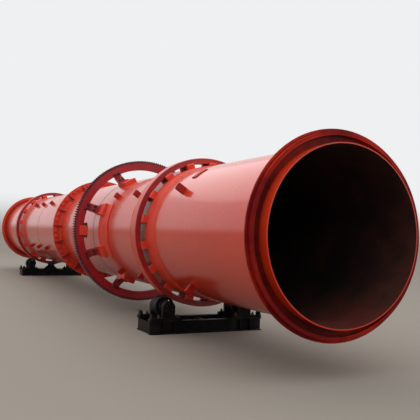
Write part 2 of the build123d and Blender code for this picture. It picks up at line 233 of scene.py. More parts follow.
def maths(tree, operation, first, second=0.0, clamp=False):
    inputs = {0: first, 1: second}
    return node(tree, "ShaderNodeMath", inputs, operation=operation, use_clamp=clamp).outputs[0]


def scaled(tree, value, by):
    return maths(tree, "MULTIPLY", value, by)


def mixed(tree, share, first, second):
    """A colour between two others."""
    inputs = {0: share, 6: first, 7: second}
    return node(tree, "ShaderNodeMix", inputs, data_type="RGBA").outputs[2]


def between(tree, share, first, second):
    """A number between two others."""
    inputs = {0: share, 2: first, 3: second}
    return node(tree, "ShaderNodeMix", inputs, data_type="FLOAT").outputs[0]


def stepped(tree, value, low, high):
    """0 below low, 1 above high and a smooth rise in between."""
    inputs = {"Value": value, "From Min": low, "From Max": high}
    return node(tree, "ShaderNodeMapRange", inputs, interpolation_type="SMOOTHSTEP").outputs[0]


def noise(tree, place, scale, detail=3.0, roughness=0.55):
    inputs = {"Vector": place, "Scale": scale, "Detail": detail, "Roughness": roughness}
    return node(tree, "ShaderNodeTexNoise", inputs).outputs["Fac"]


def new_group(name, inputs, outputs):
    """An empty shader node group with its sockets, and its input and output nodes."""
    tree = bpy.data.node_groups.new(name, "ShaderNodeTree")
    for direction, sockets in (("INPUT", inputs), ("OUTPUT", outputs)):
        for socket, kind in sockets.items():
            tree.interface.new_socket(name=socket, in_out=direction, socket_type="NodeSocket" + kind)
    return tree, tree.nodes.new("NodeGroupInput").outputs, tree.nodes.new("NodeGroupOutput").inputs


def make_drum_place_group():
    """Where a point is on the drum: its distance from the axis, and the place squeezed to a disc."""
    tree, given, result = new_group(
        "Drum Place", {"Place": "Vector", "Axis Height": "Float"},
        {"Radius": "Float", "Along": "Float", "Height": "Float", "Lines": "Vector"},
    )
    split = node(tree, "ShaderNodeSeparateXYZ", {"Vector": given["Place"]}).outputs
    height = maths(tree, "SUBTRACT", split["Z"], given["Axis Height"])
    across = node(tree, "ShaderNodeCombineXYZ", {"X": split["X"], "Y": height})
    length = node(tree, "ShaderNodeVectorMath", {0: across.outputs[0]}, operation="LENGTH")
    radius = length.outputs["Value"]
    lines = node(tree, "ShaderNodeCombineXYZ", {"X": radius, "Y": split["Y"]}).outputs[0]
    tree.links.new(radius, result["Radius"])
    tree.links.new(split["Y"], result["Along"])
    tree.links.new(height, result["Height"])
    tree.links.new(lines, result["Lines"])
    return tree


def make_paint_group():
    """Sprayed paint: thin patches, a slight change of gloss and a fine orange peel."""
    tree, given, result = new_group(
        "Sprayed Paint",
        {"Place": "Vector", "Colour": "Color", "Thin Colour": "Color", "Patch Scale": "Float",
         "Peel Scale": "Float", "Gloss": "Float"},
        {"Colour": "Color", "Roughness": "Float", "Height": "Float"},
    )
    patches = noise(tree, given["Place"], given["Patch Scale"], 5.0, 0.6)
    thin = stepped(tree, patches, 0.42, 0.68)
    colour = mixed(tree, thin, given["Colour"], given["Thin Colour"])
    peel = noise(tree, given["Place"], given["Peel Scale"], 1.0, 0.4)
    change = scaled(tree, maths(tree, "SUBTRACT", patches, 0.5), 0.22)
    rough = maths(tree, "ADD", given["Gloss"], change)
    tree.links.new(colour, result["Colour"])
    tree.links.new(rough, result["Roughness"])
    tree.links.new(peel, result["Height"])
    return tree


def make_dirt_group():
    """Dust and splashes in broken patches."""
    tree, given, result = new_group(
        "Dirt", {"Place": "Vector", "Scale": "Float", "Amount": "Float"},
        {"Mask": "Float", "Specks": "Float"})
    broad = noise(tree, given["Place"], given["Scale"], 6.0, 0.65)
    start = maths(tree, "SUBTRACT", 0.78, scaled(tree, given["Amount"], 0.5))
    mask = stepped(tree, broad, start, maths(tree, "ADD", start, 0.22))
    fine_scale = scaled(tree, given["Scale"], 14.0)
    specks = stepped(tree, noise(tree, given["Place"], fine_scale, 2.0, 0.5), 0.62, 0.72)
    tree.links.new(mask, result["Mask"])
    tree.links.new(specks, result["Specks"])
    return tree


def make_edge_group():
    """Where paint is rubbed off: on outer edges, broken up by noise."""
    tree, given, result = new_group(
        "Edge Wear", {"Place": "Vector", "Width": "Float", "Scale": "Float", "Amount": "Float"},
        {"Mask": "Float"})
    rounded = node(tree, "ShaderNodeBevel", {"Radius": given["Width"]}, samples=4).outputs[0]
    flat = node(tree, "ShaderNodeNewGeometry").outputs["Normal"]
    same = node(tree, "ShaderNodeVectorMath", {0: rounded, 1: flat}, operation="DOT_PRODUCT")
    edge = stepped(tree, maths(tree, "SUBTRACT", 1.0, same.outputs["Value"]), 0.01, 0.12)
    broken = noise(tree, given["Place"], given["Scale"], 5.0, 0.7)
    start = maths(tree, "SUBTRACT", 0.75, scaled(tree, given["Amount"], 0.5))
    chips = stepped(tree, broken, start, maths(tree, "ADD", start, 0.06))
    tree.links.new(scaled(tree, edge, chips), result["Mask"])
    return tree


def make_turned_group():
    """Fine rings left by a lathe, from the distance to the drum's axis and the place along it."""
    tree, given, result = new_group(
        "Turned Rings", {"Lines": "Vector", "Scale": "Float"}, {"Height": "Float", "Tone": "Float"})
    fine = noise(tree, given["Lines"], given["Scale"], 2.0, 0.6)
    broad_scale = scaled(tree, given["Scale"], 0.12)
    tree.links.new(fine, result["Height"])
    tree.links.new(noise(tree, given["Lines"], broad_scale, 3.0, 0.6), result["Tone"])
    return tree


def make_rust_group():
    """Bare steel that has scaled and rusted: two colours in blotches, rough with fine pits."""
    tree, given, result = new_group(
        "Scaled Steel", {"Place": "Vector", "Steel": "Color", "Rust": "Color", "Scale": "Float"},
        {"Colour": "Color", "Roughness": "Float", "Height": "Float"})
    broad = noise(tree, given["Place"], given["Scale"], 7.0, 0.7)
    colour = mixed(tree, stepped(tree, broad, 0.40, 0.66), given["Steel"], given["Rust"])
    pits = noise(tree, given["Place"], scaled(tree, given["Scale"], 20.0), 3.0, 0.6)
    tree.links.new(colour, result["Colour"])
    tree.links.new(between(tree, broad, 0.55, 0.9), result["Roughness"])
    tree.links.new(pits, result["Height"])
    return tree


def group_outputs(tree, name, inputs):
    """One of the shared effects, placed in a material."""
    return node(tree, "ShaderNodeGroup", inputs, node_tree=bpy.data.node_groups[name]).outputs


def place_on_drum(tree, place):
    return group_outputs(tree, "Drum Place", {"Place": place, "Axis Height": axis_height})


def new_material(name):
    """A material with its shader, and the place of the shaded point on the object."""
    material = bpy.data.materials.new(name)
    material.use_nodes = True
    tree = material.node_tree
    shader = tree.nodes["Principled BSDF"]
    place = tree.nodes.new("ShaderNodeTexCoord").outputs["Object"]
    return material, tree, shader, place


def bump(tree, height, strength, distance, shader):
    inputs = {"Height": height, "Strength": strength, "Distance": distance}
    tree.links.new(node(tree, "ShaderNodeBump", inputs).outputs[0], shader.inputs["Normal"])


def make_shell_material(paint):
    """Glossy paint outside the drum, dull scaled steel inside it, tinted orange near the mouths and more
    towards the bottom.
    """
    material, tree, shader, place = new_material("shell paint")
    drum = place_on_drum(tree, place)
    film = group_outputs(tree, "Sprayed Paint", {
        "Place": place, "Colour": paint.shell, "Thin Colour": paint.shell_faded, "Patch Scale": 0.9,
        "Peel Scale": 160.0, "Gloss": 0.30})
    dirt = group_outputs(tree, "Dirt", {"Place": place, "Scale": 1.7, "Amount": 0.25})
    dusty = mixed(tree, scaled(tree, dirt["Mask"], 0.08), film["Colour"], paint.dust)
    steel = group_outputs(tree, "Scaled Steel", {
        "Place": place, "Steel": paint.inside, "Rust": paint.rust, "Scale": 1.6})
    outside = stepped(tree, drum["Radius"], shell_r - shell_plate + 0.001, shell_r - shell_plate + 0.004)
    # An orange tint on the inside steel, rising towards the mouths and towards the bottom.
    along = maths(tree, "ABSOLUTE", drum["Along"])
    mouth = stepped(tree, along, half_length - mouth_tint_length, half_length)
    lowest = stepped(tree, drum["Height"], mouth_tint_top, mouth_tint_full)
    mouth_tint = scaled(tree, mouth, between(tree, lowest, 0.025, 0.12))
    tinted_steel = mixed(tree, mouth_tint, steel["Colour"], paint.belt)
    colour = mixed(tree, outside, tinted_steel, dusty)
    dull = scaled(tree, dirt["Mask"], 0.15)
    rough = between(tree, outside, steel["Roughness"], maths(tree, "ADD", film["Roughness"], dull))
    height = between(tree, outside, scaled(tree, steel["Height"], 8.0), film["Height"])
    fill(tree, shader.inputs, {
        "Base Color": colour, "Roughness": rough, "Coat Weight": scaled(tree, outside, 0.6),
        "Coat Roughness": 0.10, "Specular IOR Level": 0.32})
    bump(tree, height, 0.04, 0.0005, shader)
    return material


def make_primer_material(paint, name, base, thin, gloss):
    """Matt primer with scuffs and rubbed edges."""
    material, tree, shader, place = new_material(name)
    film = group_outputs(tree, "Sprayed Paint", {
        "Place": place, "Colour": base, "Thin Colour": thin, "Patch Scale": 2.2, "Peel Scale": 220.0,
        "Gloss": gloss})
    dirt = group_outputs(tree, "Dirt", {"Place": place, "Scale": 3.0, "Amount": 0.35})
    wear = group_outputs(tree, "Edge Wear", {
        "Place": place, "Width": 0.006, "Scale": 18.0, "Amount": 0.35})
    dusty = mixed(tree, scaled(tree, dirt["Mask"], 0.25), film["Colour"], paint.rust)
    worn = mixed(tree, scaled(tree, wear["Mask"], 0.7), dusty, paint.inside)
    along = place_on_drum(tree, place)["Along"]
    from_ring = maths(tree, "ABSOLUTE", maths(tree, "SUBTRACT", maths(tree, "ABSOLUTE", along), tyre_y))
    track = stepped(tree, from_ring, tyre_width / 2 + 0.004, tyre_width / 2)
    colour = mixed(tree, track, worn, paint.track)
    rough = between(tree, track, film["Roughness"], 0.30)
    fill(tree, shader.inputs, {"Base Color": colour, "Roughness": rough, "Specular IOR Level": 0.3})
    bump(tree, film["Height"], 0.3, 0.0006, shader)
    return material


def make_ring_material(paint, name, base, other, pick_other, gloss, sheen, groove_shade):
    """Paint over turned steel, rubbed on its edges, with a second paint where pick_other says, and
    painted shade that darkens a seal ring's groove.
    """
    material, tree, shader, place = new_material(name)
    drum = place_on_drum(tree, place)
    turned = group_outputs(tree, "Turned Rings", {"Lines": drum["Lines"], "Scale": 420.0})
    film = group_outputs(tree, "Sprayed Paint", {
        "Place": place, "Colour": base, "Thin Colour": paint.shell, "Patch Scale": 1.4,
        "Peel Scale": 180.0, "Gloss": gloss})
    wear = group_outputs(tree, "Edge Wear", {
        "Place": place, "Width": 0.007, "Scale": 14.0, "Amount": 0.33})
    dirt = group_outputs(tree, "Dirt", {"Place": place, "Scale": 2.4, "Amount": 0.3})
    toned = mixed(tree, stepped(tree, turned["Tone"], 0.35, 0.8), film["Colour"], base)
    both = mixed(tree, pick_other(tree, drum), toned, other)
    # Painted shade: everything nearer the axis than the seal bar's inner radius is darkened to stand for
    # the shade in the groove.
    groove = stepped(tree, drum["Radius"], shell_r + seal_groove + 0.002, shell_r + seal_groove - 0.002)
    dark = mixed(tree, scaled(tree, groove, groove_shade), both, paint.groove)
    dusty = mixed(tree, scaled(tree, dirt["Mask"], 0.06), dark, paint.dust)
    colour = mixed(tree, scaled(tree, wear["Mask"], 0.6), dusty, paint.inside)
    fill(tree, shader.inputs, {
        "Base Color": colour, "Roughness": film["Roughness"], "Specular IOR Level": sheen})
    bump(tree, turned["Height"], 0.12, 0.0008, shader)
    return material


def running_face(tree, drum):
    """1 on the outer face of a riding ring."""
    return stepped(tree, drum["Radius"], tyre_r - 0.005, tyre_r - 0.001)


def seal_ring_back(tree, drum):
    """1 on the side of a seal ring that looks along the drum."""
    return stepped(tree, maths(tree, "ABSOLUTE", drum["Along"]), seal_back + 0.004, seal_back + 0.002)


def make_gear_material(paint):
    """Crimson paint on the web and rim, dark grease on the teeth."""
    material, tree, shader, place = new_material("gear paint")
    drum = place_on_drum(tree, place)
    film = group_outputs(tree, "Sprayed Paint", {
        "Place": place, "Colour": paint.gear, "Thin Colour": paint.ring, "Patch Scale": 1.8,
        "Peel Scale": 150.0, "Gloss": 0.34})
    smeared = maths(tree, "ADD", drum["Radius"], scaled(tree, noise(tree, place, 9.0, 4.0, 0.6), 0.03))
    teeth = stepped(tree, smeared, gear_root_r - 0.006, gear_root_r + 0.012)
    dirt = group_outputs(tree, "Dirt", {"Place": place, "Scale": 4.0, "Amount": 0.35})
    dusty = mixed(tree, scaled(tree, dirt["Mask"], 0.35), film["Colour"], paint.grease)
    above = maths(tree, "ABSOLUTE", drum["Height"])
    beside = stepped(tree, above, gear_ear_half + 0.030, gear_ear_half + 0.028)
    within = stepped(tree, drum["Radius"], gear_ear_top + 0.007, gear_ear_top + 0.005)
    ahead = stepped(tree, drum["Along"], gear_face - 0.001, gear_face - 0.002)
    inward = stepped(tree, drum["Radius"], gear_bore_r - 0.002, gear_bore_r - 0.003)
    ears = scaled(tree, scaled(tree, beside, within), maths(tree, "MAXIMUM", ahead, inward))
    coated = mixed(tree, ears, dusty, paint.belt)
    colour = mixed(tree, scaled(tree, teeth, 0.68), coated, paint.grease)
    rough = between(tree, teeth, film["Roughness"], 0.6)
    fill(tree, shader.inputs, {"Base Color": colour, "Roughness": rough, "Specular IOR Level": 0.35})
    bump(tree, film["Height"], 0.3, 0.0008, shader)
    return material


def make_greased_material(paint):
    """Seats under the riding rings: dark, oily and scuffed."""
    material, tree, shader, place = new_material("greased seats")
    steel = group_outputs(tree, "Scaled Steel", {
        "Place": place, "Steel": paint.gusset, "Rust": paint.grease, "Scale": 7.0})
    fill(tree, shader.inputs, {"Base Color": steel["Colour"], "Roughness": steel["Roughness"]})
    bump(tree, steel["Height"], 0.4, 0.001, shader)
    return material


def make_station_material(paint):
    """Black paint with dust lying on every upward face and rubbed edges."""
    material, tree, shader, place = new_material("station paint")
    film = group_outputs(tree, "Sprayed Paint", {
        "Place": place, "Colour": paint.station, "Thin Colour": paint.grease, "Patch Scale": 4.0,
        "Peel Scale": 200.0, "Gloss": 0.42})
    wear = group_outputs(tree, "Edge Wear", {
        "Place": place, "Width": 0.004, "Scale": 30.0, "Amount": 0.4})
    dirt = group_outputs(tree, "Dirt", {"Place": place, "Scale": 6.0, "Amount": 0.75})
    facing = node(tree, "ShaderNodeNewGeometry").outputs["Normal"]
    split = node(tree, "ShaderNodeSeparateXYZ", {"Vector": facing})
    upward = stepped(tree, split.outputs["Z"], 0.35, 0.95)
    lying = scaled(tree, upward, dirt["Mask"])
    hazy = maths(tree, "ADD", scaled(tree, lying, 0.14), scaled(tree, dirt["Specks"], 0.004))
    dusty = mixed(tree, hazy, film["Colour"], paint.dust)
    colour = mixed(tree, scaled(tree, wear["Mask"], 0.5), dusty, paint.rust)
    rough = maths(tree, "ADD", film["Roughness"], scaled(tree, lying, 0.35), clamp=True)
    fill(tree, shader.inputs, {"Base Color": colour, "Roughness": rough, "Specular IOR Level": 0.10})
    bump(tree, film["Height"], 0.35, 0.0008, shader)
    return material


def make_roller_material(paint):
    """Oiled steel, brighter where it has rolled."""
    material, tree, shader, place = new_material("oiled steel")
    steel = group_outputs(tree, "Scaled Steel", {
        "Place": place, "Steel": paint.station, "Rust": paint.grease, "Scale": 5.0})
    wear = group_outputs(tree, "Edge Wear", {
        "Place": place, "Width": 0.010, "Scale": 9.0, "Amount": 0.8})
    colour = mixed(tree, scaled(tree, wear["Mask"], 0.5), steel["Colour"], paint.steel)
    fill(tree, shader.inputs, {
        "Base Color": colour, "Roughness": between(tree, steel["Roughness"], 0.35, 0.6),
        "Metallic": scaled(tree, wear["Mask"], 0.8), "Specular IOR Level": 0.15})
    bump(tree, steel["Height"], 0.2, 0.0006, shader)
    return material


def make_bolt_material(paint):
    """Dull steel bolts with a little rust and grease."""
    material, tree, shader, place = new_material("bolt steel")
    steel = group_outputs(tree, "Scaled Steel", {
        "Place": place, "Steel": paint.bolt, "Rust": paint.rust, "Scale": 12.0})
    fill(tree, shader.inputs, {
        "Base Color": steel["Colour"], "Roughness": steel["Roughness"], "Metallic": 0.6})
    bump(tree, steel["Height"], 0.3, 0.0005, shader)
    return material


def make_plated_material(paint):
    """Plated steel of the grease nipples."""
    material, tree, shader, place = new_material("plated steel")
    tone = noise(tree, place, 60.0)
    fill(tree, shader.inputs, {
        "Base Color": paint.plated, "Metallic": 0.8, "Roughness": between(tree, tone, 0.2, 0.5)})
    return material


def make_bead_material(paint, name, base, gloss):
    """Painted weld beads: the paint of the plate beside them, with the ripples of the weld."""
    material, tree, shader, place = new_material(name)
    film = group_outputs(tree, "Sprayed Paint", {
        "Place": place, "Colour": base, "Thin Colour": paint.shell_faded, "Patch Scale": 3.0,
        "Peel Scale": 120.0, "Gloss": gloss})
    fill(tree, shader.inputs, {"Base Color": film["Colour"], "Roughness": film["Roughness"]})
    bump(tree, film["Height"], 0.8, 0.002, shader)
    return material


def paint_nodes(material, *names):
    """Gives CAD nodes their material."""
    for name in names:
        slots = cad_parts[name].data.materials
        slots.clear()
        slots.append(material)


def find_material(name):
    material = bpy.data.materials.get(name)
    if material is None:
        raise RuntimeError(f"the material {name} isn't made yet: paint the drum first")
    return material


def finished(name, bm, material, body, sharp=30.0):
    """Turns a bmesh into a piece that rides on a body, smooth but for its sharp edges."""
    if not bm.faces:
        raise RuntimeError(f"{name} came out with no faces")
    bmesh.ops.recalc_face_normals(bm, faces=bm.faces)
    mesh = bpy.data.meshes.new(name)
    bm.to_mesh(mesh)
    bm.free()
    for face in mesh.polygons:
        face.use_smooth = True
    mesh.set_sharp_from_angle(angle=radians(sharp))
    mesh.materials.append(material)
    piece = bpy.data.objects.new(name, mesh)
    bpy.context.scene.collection.objects.link(piece)
    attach(piece, body)
    return piece


def spin_outline(bm, outline, steps=128):
    """A ring: a closed outline of (radius, y) points spun about the drum's axis."""
    corners = [bm.verts.new((r, y, axis_height)) for r, y in outline]
    edges = [bm.edges.new(pair) for pair in zip(corners, corners[1:] + corners[:1])]
    bmesh.ops.spin(
        bm, geom=corners + edges, cent=(0, 0, axis_height), axis=(0, 1, 0), angle=2 * pi, steps=steps,
        use_merge=True, use_duplicate=False,
    )


facings = {
    "out": Matrix.Identity(4),
    "near": Matrix.Rotation(pi / 2, 4, "X"),
    "far": Matrix.Rotation(-pi / 2, 4, "X"),
    "right": Matrix.Rotation(pi / 2, 4, "Y"),
    "left": Matrix.Rotation(-pi / 2, 4, "Y"),
}


def at_angle(angle, r, y, facing="out", across=0.0):
    """A place on the drum at an angle from its top, with +Z turned the way that is asked."""
    return (
        Matrix.Translation((0, y, axis_height)) @ Matrix.Rotation(-angle, 4, "Y")
        @ Matrix.Translation((across, 0, r)) @ facings[facing]
    )


def at_point(x, y, z, facing="out"):
    return Matrix.Translation((x, y, z)) @ facings[facing]


def block(length, width, height):
    """A plain block standing on z = 0."""
    bm = bmesh.new()
    place = Matrix.Translation((0, 0, height / 2)) @ Matrix.Diagonal((length, width, height, 1))
    bmesh.ops.create_cube(bm, size=1.0, matrix=place)
    return bm


def chamfer_top(bm, height, chamfer):
    """Chamfers the edges that lie highest."""
    top = [e for e in bm.edges if all(v.co.z > 0.95 * height for v in e.verts)]
    bmesh.ops.bevel(bm, geom=top, offset=chamfer, affect="EDGES", segments=1, profile=0.5, material=-1)
    return bm


def bar(length, width, height, chamfer):
    """A flat bar lying on z = 0, its upper edges chamfered."""
    return chamfer_top(block(length, width, height), height, chamfer)


def square_tube(length, width, height, wall):
    """A short square tube standing on z = 0, open at its upper end."""
    bm = block(length, width, height)
    top = [f for f in bm.faces if f.calc_center_median().z > 0.99 * height]
    bmesh.ops.inset_region(bm, faces=top, thickness=wall, use_even_offset=True)
    pushed = bmesh.ops.extrude_face_region(bm, geom=top)["geom"]
    pushed = [v for v in pushed if isinstance(v, bmesh.types.BMVert)]
    bmesh.ops.translate(bm, verts=pushed, vec=(0, 0, -lug_hollow * height))
    bmesh.ops.delete(bm, geom=top, context="FACES_ONLY")
    return bm


def add_prism(bm, segments, bottom_r, top_r, height, start=0.0):
    """Adds a bar with that many sides, standing on z = start."""
    bmesh.ops.create_cone(
        bm, cap_ends=True, segments=segments, radius1=bottom_r, radius2=top_r, depth=height,
        matrix=Matrix.Translation((0, 0, start + height / 2)))


def round_bar(r, length, chamfer, segments=20):
    """A round bar standing on z = 0, its free end chamfered."""
    bm = bmesh.new()
    add_prism(bm, segments, r, r, length)
    return chamfer_top(bm, length, chamfer)


def joined(*parts):
    """One bmesh of several."""
    bm = parts[0]
    for part in parts[1:]:
        extra = bpy.data.meshes.new("extra")
        part.to_mesh(extra)
        part.free()
        bm.from_mesh(extra)
        bpy.data.meshes.remove(extra)
    return bm


def joint_sides():
    return (pi / 2 + gear_phase, 3 * pi / 2 + gear_phase)


def spring_angles():
    return [
        joint + side * place for joint in joint_sides() for side in (-1, 1) for place in spring_places]


def bearings():
    """The middle of every bearing's foot, and which way its outer face looks."""
    for station in (-tyre_y, tyre_y):
        for side in (-1, 1):
            for x in (-roller_x, roller_x):
                yield x, station + side * beam_offset, side


def hex_bolt(across, washer=True, stud=0.0):
    """A hexagon head or nut on its washer, and the thread that stands out of a nut."""
    bm = bmesh.new()
    height = 0.7 * across
    corner = across / sqrt(3)
    rise = 0.12 * across if washer else 0.0
    if washer:
        add_prism(bm, 18, 0.66 * across, 0.66 * across, rise)
    add_prism(bm, 6, corner, corner, height, rise)
    chamfer_top(bm, rise + height, 0.10 * across)
    if stud:
        add_prism(bm, 12, 0.31 * across, 0.27 * across, stud, rise + height)
    return bm


def repeated(template, places):
    """One bmesh with a copy of the template at each place."""
    pattern = bpy.data.meshes.new("pattern")
    template.to_mesh(pattern)
    template.free()
    bm = bmesh.new()
    for place in places:
        before = len(bm.verts)
        bm.from_mesh(pattern)
        bm.verts.ensure_lookup_table()
        bmesh.ops.transform(bm, matrix=place, verts=bm.verts[before:])
    bpy.data.meshes.remove(pattern)
    return bm


class DRYER_OT_effects(bpy.types.Operator):
    """Make the node groups that the materials share"""
    bl_idname = "dryer.effects"
    bl_label = "Make Effects"

    def execute(self, context):
        make_drum_place_group()
        make_paint_group()
        make_dirt_group()
        make_edge_group()
        make_turned_group()
        make_rust_group()
        return {"FINISHED"}


class DRYER_OT_paint_drum(bpy.types.Operator):
    """Paint the shell, its belts, rings, seats and lugs"""
    bl_idname = "dryer.paint_drum"
    bl_label = "Paint Drum"

    def execute(self, context):
        paint = context.scene.dryer_paint
        paint_nodes(make_shell_material(paint), "near_shell", "far_shell")
        belts = make_primer_material(paint, "belt primer", paint.belt, paint.shell, 0.55)
        for end in ("near", "far"):
            for piece in ("mid_flange", "tyre_belt", "tyre_stops"):
                paint_nodes(belts, f"{end}_{piece}")
        paint_nodes(belts, "gear_belt", "gear_feet")
        rings = make_ring_material(
            paint, "ring paint", base=paint.ring, other=paint.shell, pick_other=running_face, gloss=0.34,
            sheen=0.5, groove_shade=0.0)
        paint_nodes(rings, "near_tyre", "far_tyre")
        # The seal rings get painted shade in their grooves.
        seals = make_ring_material(
            paint, "seal ring paint", base=paint.seal, other=paint.belt, pick_other=seal_ring_back,
            gloss=0.45, sheen=0.12, groove_shade=0.55)
        paint_nodes(seals, "near_seal_ring", "far_seal_ring")
        # Painted shade: the gussets are painted dark red for the shade on them.
        gussets = make_primer_material(paint, "painted gusset shade", paint.gusset, paint.ring, 0.6)
        paint_nodes(gussets, "near_mid_gussets", "far_mid_gussets")
        lugs = make_primer_material(paint, "lug paint", paint.lug, paint.ring, 0.5)
        paint_nodes(lugs, "near_shell_pads", "far_shell_pads")
        paint_nodes(make_greased_material(paint), "near_tyre_seats", "far_tyre_seats")
        return {"FINISHED"}


class DRYER_OT_paint_gear(bpy.types.Operator):
    """Paint the girth gear and grease its teeth"""
    bl_idname = "dryer.paint_gear"
    bl_label = "Paint Gear"

    def execute(self, context):
        paint = context.scene.dryer_paint
        paint_nodes(make_gear_material(paint), "gear_upper_half", "gear_lower_half", "gear_springs")
        paint_nodes(make_bolt_material(paint), "gear_joint_bolts")
        return {"FINISHED"}


class DRYER_OT_paint_stations(bpy.types.Operator):
    """Paint both roller stations and oil their rollers"""
    bl_idname = "dryer.paint_stations"
    bl_label = "Paint Stations"

    def execute(self, context):
        paint = context.scene.dryer_paint
        black = make_station_material(paint)
        oiled = make_roller_material(paint)
        for end in ("near", "far"):
            for piece in ("front_beam", "rear_beam", "cross_plates", "bearings", "screw_stands"):
                paint_nodes(black, f"{end}_{piece}")
            paint_nodes(oiled, f"{end}_left_roller", f"{end}_right_roller", f"{end}_thrust_roller")
        paint_nodes(black, "thrust_stands")
        return {"FINISHED"}


class DRYER_OT_shell_seams(bpy.types.Operator):
    """Add the welds between the shell's rolled plates"""
    bl_idname = "dryer.shell_seams"
    bl_label = "Add Shell Seams"

    def execute(self, context):
        fittings = context.scene.dryer_fittings
        paint = context.scene.dryer_paint
        bead = make_bead_material(paint, "shell bead", paint.seam, 0.55)
        bm = bmesh.new()
        half, rise = fittings.bead_width / 2, fittings.bead_height
        low = shell_r - rise
        for y in seam_places:
            spin_outline(bm, [
                (low, y - half), (shell_r + 0.7 * rise, y - half / 2), (shell_r + rise, y),
                (shell_r + 0.7 * rise, y + half / 2), (low, y + half)])
        finished("shell_seams", bm, bead, "drum", 60)
        return {"FINISHED"}


class DRYER_OT_patch_plate(bpy.types.Operator):
    """Add the small patch welded on the shell ahead of the near riding ring"""
    bl_idname = "dryer.patch_plate"
    bl_label = "Add Patch Plate"

    def execute(self, context):
        fittings = context.scene.dryer_fittings
        length, width, plate = fittings.patch_length, fittings.patch_width, fittings.patch_plate
        low, high = shell_r - sunk, shell_r + plate
        spread = length / shell_r
        start = patch_angle - spread / 2
        bm = bmesh.new()
        outline = [(low, -width / 2), (high, -width / 2), (high, width / 2), (low, width / 2)]
        corners = [bm.verts.new(at_angle(start, r, patch_y + y) @ Vector()) for r, y in outline]
        edges = [bm.edges.new(pair) for pair in zip(corners, corners[1:] + corners[:1])]
        bmesh.ops.spin(
            bm, geom=corners + edges, cent=(0, 0, axis_height), axis=(0, -1, 0), angle=spread, steps=6,
            use_merge=False, use_duplicate=False)
        bmesh.ops.holes_fill(bm, edges=bm.edges, sides=4)
        finished("patch_plate", bm, find_material("lug paint"), "drum")
        return {"FINISHED"}


class DRYER_OT_shell_lugs(bpy.types.Operator):
    """Stand the short square lugs on the shell, in place of the flat pads"""
    bl_idname = "dryer.shell_lugs"
    bl_label = "Add Shell Lugs"

    def execute(self, context):
        fittings = context.scene.dryer_fittings
        across, depth, wall = fittings.lug_size, fittings.lug_depth, fittings.lug_wall
        for name, rings, turns, node_name in (
                ("near_shell_lugs", near_lugs, near_lug_turns, "near_shell_pads"),
                ("far_shell_lugs", far_lugs, far_lug_turns, "far_shell_pads")):
            parts = []
            for y, first, height in rings:
                places = [at_angle(radians(first + turn), shell_r - lug_sunk, y) for turn in turns]
                parts.append(repeated(square_tube(across, depth, height + lug_sunk, wall), places))
            lugs = finished(name, joined(*parts), find_material("lug paint"), "drum")
            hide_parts(node_name)
        return {"FINISHED"}


class DRYER_OT_plate_welds(bpy.types.Operator):
    """Add the fillet welds round belts, flanges and seal rings"""
    bl_idname = "dryer.plate_welds"
    bl_label = "Add Plate Welds"

    def execute(self, context):
        paint = context.scene.dryer_paint
        bead = make_bead_material(paint, "belt bead", paint.belt, 0.5)
        leg = context.scene.dryer_fittings.bead_width
        bm = bmesh.new()
        for name in ("near_tyre_belt", "far_tyre_belt"):
            low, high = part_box(name)
            for y, side in ((low[1], -1), (high[1], 1)):
                spin_outline(bm, [(shell_r - sunk, y), (belt_r - sunk, y), (shell_r, y + side * leg)])
        for side in (-1, 1):
            y = side * flange_plate
            spin_outline(bm, [(shell_r - sunk, y), (shell_r + leg, y), (shell_r - sunk, y + side * leg)])
        finished("plate_welds", bm, bead, "drum", 60)
        return {"FINISHED"}


class DRYER_OT_mid_bolts(bpy.types.Operator):
    """Bolt the two halves of the drum together at mid length"""
    bl_idname = "dryer.mid_bolts"
    bl_label = "Add Joint Bolts"

    def execute(self, context):
        size = context.scene.dryer_fittings.mid_bolt
        r = (shell_r + 2 * flange_r) / 3
        pitch = 2 * pi / mid_gusset_count
        angles = []
        for gusset in range(mid_gusset_count):
            angles += [mid_gusset_phase + pitch * (gusset + share) for share in (1 / 3, 2 / 3)]
        heads = repeated(hex_bolt(size), [at_angle(a, r, -flange_plate, "near") for a in angles])
        nuts = repeated(hex_bolt(size, stud=0.02), [at_angle(a, r, flange_plate, "far") for a in angles])
        primer = find_material("belt primer")
        finished("mid_joint_heads", heads, primer, "drum")
        finished("mid_joint_nuts", nuts, primer, "drum")
        return {"FINISHED"}


class DRYER_OT_spring_clamps(bpy.types.Operator):
    """Clamp the spring plates to the gear and to their feet"""
    bl_idname = "dryer.spring_clamps"
    bl_label = "Add Spring Clamps"

    def execute(self, context):
        fittings = context.scene.dryer_fittings
        length, width, plate = fittings.clamp_length, fittings.clamp_width, fittings.clamp_plate
        front = gear_face - spring_plate
        on_foot = foot_top + spring_plate
        ring_r = gear_bore_r + width / 2
        foot_y = foot_end - width
        places = []
        bolts = []
        for angle in spring_angles():
            places += [at_angle(angle, ring_r, front, "near"), at_angle(angle, on_foot, foot_y)]
            for across in (-length / 4, length / 4):
                bolts.append(at_angle(angle, ring_r, front - plate, "near", across))
                bolts.append(at_angle(angle, on_foot + plate, foot_y, "out", across))
        steel = find_material("bolt steel")
        crimson = find_material("gear paint")
        bars = repeated(bar(length, width, plate, 0.003), places)
        finished("spring_clamp_bars", bars, crimson, "drum")
        heads = repeated(hex_bolt(fittings.spring_bolt, stud=thread_reach), bolts)
        finished("spring_bolts", heads, steel, "drum")
        return {"FINISHED"}


